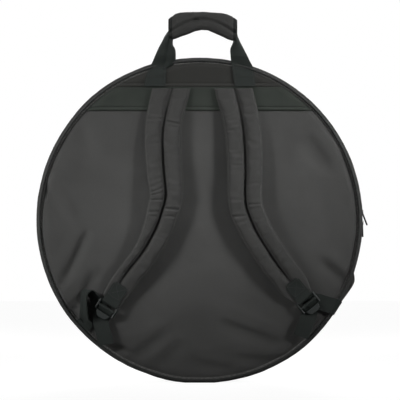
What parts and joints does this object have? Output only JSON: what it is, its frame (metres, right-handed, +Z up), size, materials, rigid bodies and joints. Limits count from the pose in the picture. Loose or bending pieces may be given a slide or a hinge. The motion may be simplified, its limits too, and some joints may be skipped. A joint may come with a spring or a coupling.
{
  "type": "cymbal bag",
  "caption": "Round padded cymbal bag with a two-way zip, padded shoulder straps with ladder locks and a wrapped carry handle.",
  "frame": {"origin": "middle of the flat at the bottom of the rim, which the bag stands on", "axes": "+Z up through the carry handle, -Y out of the back panel with the straps, +Y out of the front panel, +X to the right as seen from the straps"},
  "size_m": [0.6026, 0.0987, 0.666],
  "materials": {
    "shell_cloth": "woven nylon, matt",
    "strap_cloth": "woven nylon over padding, matt",
    "webbing": "ribbed polypropylene webbing",
    "edge_tape": "woven edge tape",
    "foam": "closed-cell foam",
    "lining": "smooth woven lining",
    "zip_coil": "nylon coil",
    "buckle_plastic": "moulded acetal, satin",
    "slider_metal": "black enamelled zinc",
    "hook_and_loop": "hook and loop tape"
  },
  "bodies": {
    "back_shell": {"back_panel_cloth": "shell_cloth", "back_panel_foam": "foam", "back_panel_lining": "lining", "back_piping": "edge_tape", "bottom_hinge_strip": "shell_cloth", "handle_sewn_end_left": "webbing", "handle_sewn_end_right": "webbing", "inner_seam_tape_back": "edge_tape", "reinforcement_band": "webbing", "side_wall_cloth": "shell_cloth", "side_wall_foam": "foam", "side_wall_lining": "lining", "strap_wing_right": "shell_cloth", "top_yoke": "shell_cloth", "zip_coil_back": "zip_coil", "zip_end_tab_left": "edge_tape", "zip_end_tab_right": "edge_tape", "zip_tape_back": "webbing"},
    "front_cover": {"front_panel_cloth": "shell_cloth", "front_panel_foam": "foam", "front_panel_lining": "lining", "front_piping": "edge_tape", "front_edge_cloth": "shell_cloth", "front_edge_foam": "foam", "inner_seam_tape_front": "edge_tape", "zip_tape_front": "webbing", "zip_coil_front": "zip_coil"},
    "zip_slider_upper": {"zip_slider_upper": "slider_metal"},
    "zip_slider_lower": {"zip_slider_lower": "slider_metal"},
    "zip_pull_upper": {"zip_pull_upper": "slider_metal"},
    "zip_pull_lower": {"zip_pull_lower": "slider_metal"},
    "carry_handle": {"handle_webbing_back": "webbing", "handle_webbing_front": "webbing", "grip_wrap": "strap_cloth", "grip_end_binding_left": "edge_tape", "grip_end_binding_right": "edge_tape", "grip_loop_tape": "hook_and_loop"},
    "grip_flap": {"grip_flap": "strap_cloth", "grip_hook_tape": "hook_and_loop"},
    "shoulder_strap_left": {"strap_pad_left": "strap_cloth", "strap_edge_tape_left": "edge_tape", "strap_end_tab_left": "webbing", "lower_webbing_left": "webbing"},
    "ladder_lock_left": {"ladder_lock_left": "buckle_plastic"},
    "webbing_tail_left": {"webbing_tail_left": "webbing"},
    "shoulder_strap_right": {"strap_pad_right": "strap_cloth", "strap_edge_tape_right": "edge_tape", "strap_end_tab_right": "webbing", "lower_webbing_right": "webbing"},
    "ladder_lock_right": {"ladder_lock_right": "buckle_plastic"},
    "webbing_tail_right": {"webbing_tail_right": "webbing"}
  },
  "joints": [
    {"name": "front_cover_open", "type": "hinge", "parent": "back_shell", "child": "front_cover", "pos_m": [0, 0.0332, 0.0056], "axis": [-1, 0, 0], "range_deg": [0, 90]},
    {"name": "upper_slider_run", "type": "hinge", "parent": "back_shell", "child": "zip_slider_upper", "pos_m": [0, 0.015, 0.2935], "axis": [0, -1, 0], "range_deg": [0, 231]},
    {"name": "lower_slider_run", "type": "hinge", "parent": "back_shell", "child": "zip_slider_lower", "pos_m": [0, 0.015, 0.2935], "axis": [0, -1, 0], "range_deg": [-54, 0]},
    {"name": "upper_pull_swing", "type": "hinge", "parent": "zip_slider_upper", "child": "zip_pull_upper", "pos_m": [0.29802, 0.015, 0.3086], "axis": [0, -1, 0], "range_deg": [0, 120]},
    {"name": "lower_pull_swing", "type": "hinge", "parent": "zip_slider_lower", "child": "zip_pull_lower", "pos_m": [0.29836, 0.015, 0.28881], "axis": [0, -1, 0], "range_deg": [0, 50]},
    {"name": "carry_handle_swing", "type": "hinge", "parent": "back_shell", "child": "carry_handle", "pos_m": [0.006, -0.03935, 0.59], "axis": [1, 0, 0], "range_deg": [-60, 90]},
    {"name": "grip_flap_open", "type": "hinge", "parent": "carry_handle", "child": "grip_flap", "pos_m": [0.006, -0.02255, 0.66175], "axis": [1, 0, 0], "range_deg": [0, 90]},
    {"name": "strap_lift_left", "type": "hinge", "parent": "back_shell", "child": "shoulder_strap_left", "pos_m": [-0.05015, -0.0368, 0.5315], "axis": [-1, 0, 0], "range_deg": [0, 12]},
    {"name": "lock_tilt_left", "type": "hinge", "parent": "shoulder_strap_left", "child": "ladder_lock_left", "pos_m": [-0.16126, -0.04676, 0.14476], "axis": [-0.8441, 0, 0.5362], "range_deg": [0, 30]},
    {"name": "tail_slide_left", "type": "slide", "parent": "ladder_lock_left", "child": "webbing_tail_left", "axis": [0.2425, 0, -0.9701], "range_m": [0, 0.04]},
    {"name": "strap_lift_right", "type": "hinge", "parent": "back_shell", "child": "shoulder_strap_right", "pos_m": [0.06048, -0.0368, 0.5315], "axis": [-1, 0, 0], "range_deg": [0, 12]},
    {"name": "lock_tilt_right", "type": "hinge", "parent": "shoulder_strap_right", "child": "ladder_lock_right", "pos_m": [0.18927, -0.04676, 0.15306], "axis": [-0.7748, 0, -0.6322], "range_deg": [0, 30]},
    {"name": "tail_slide_right", "type": "slide", "parent": "ladder_lock_right", "child": "webbing_tail_right", "axis": [-0.3714, 0, -0.9285], "range_m": [0, 0.04]}
  ]
}
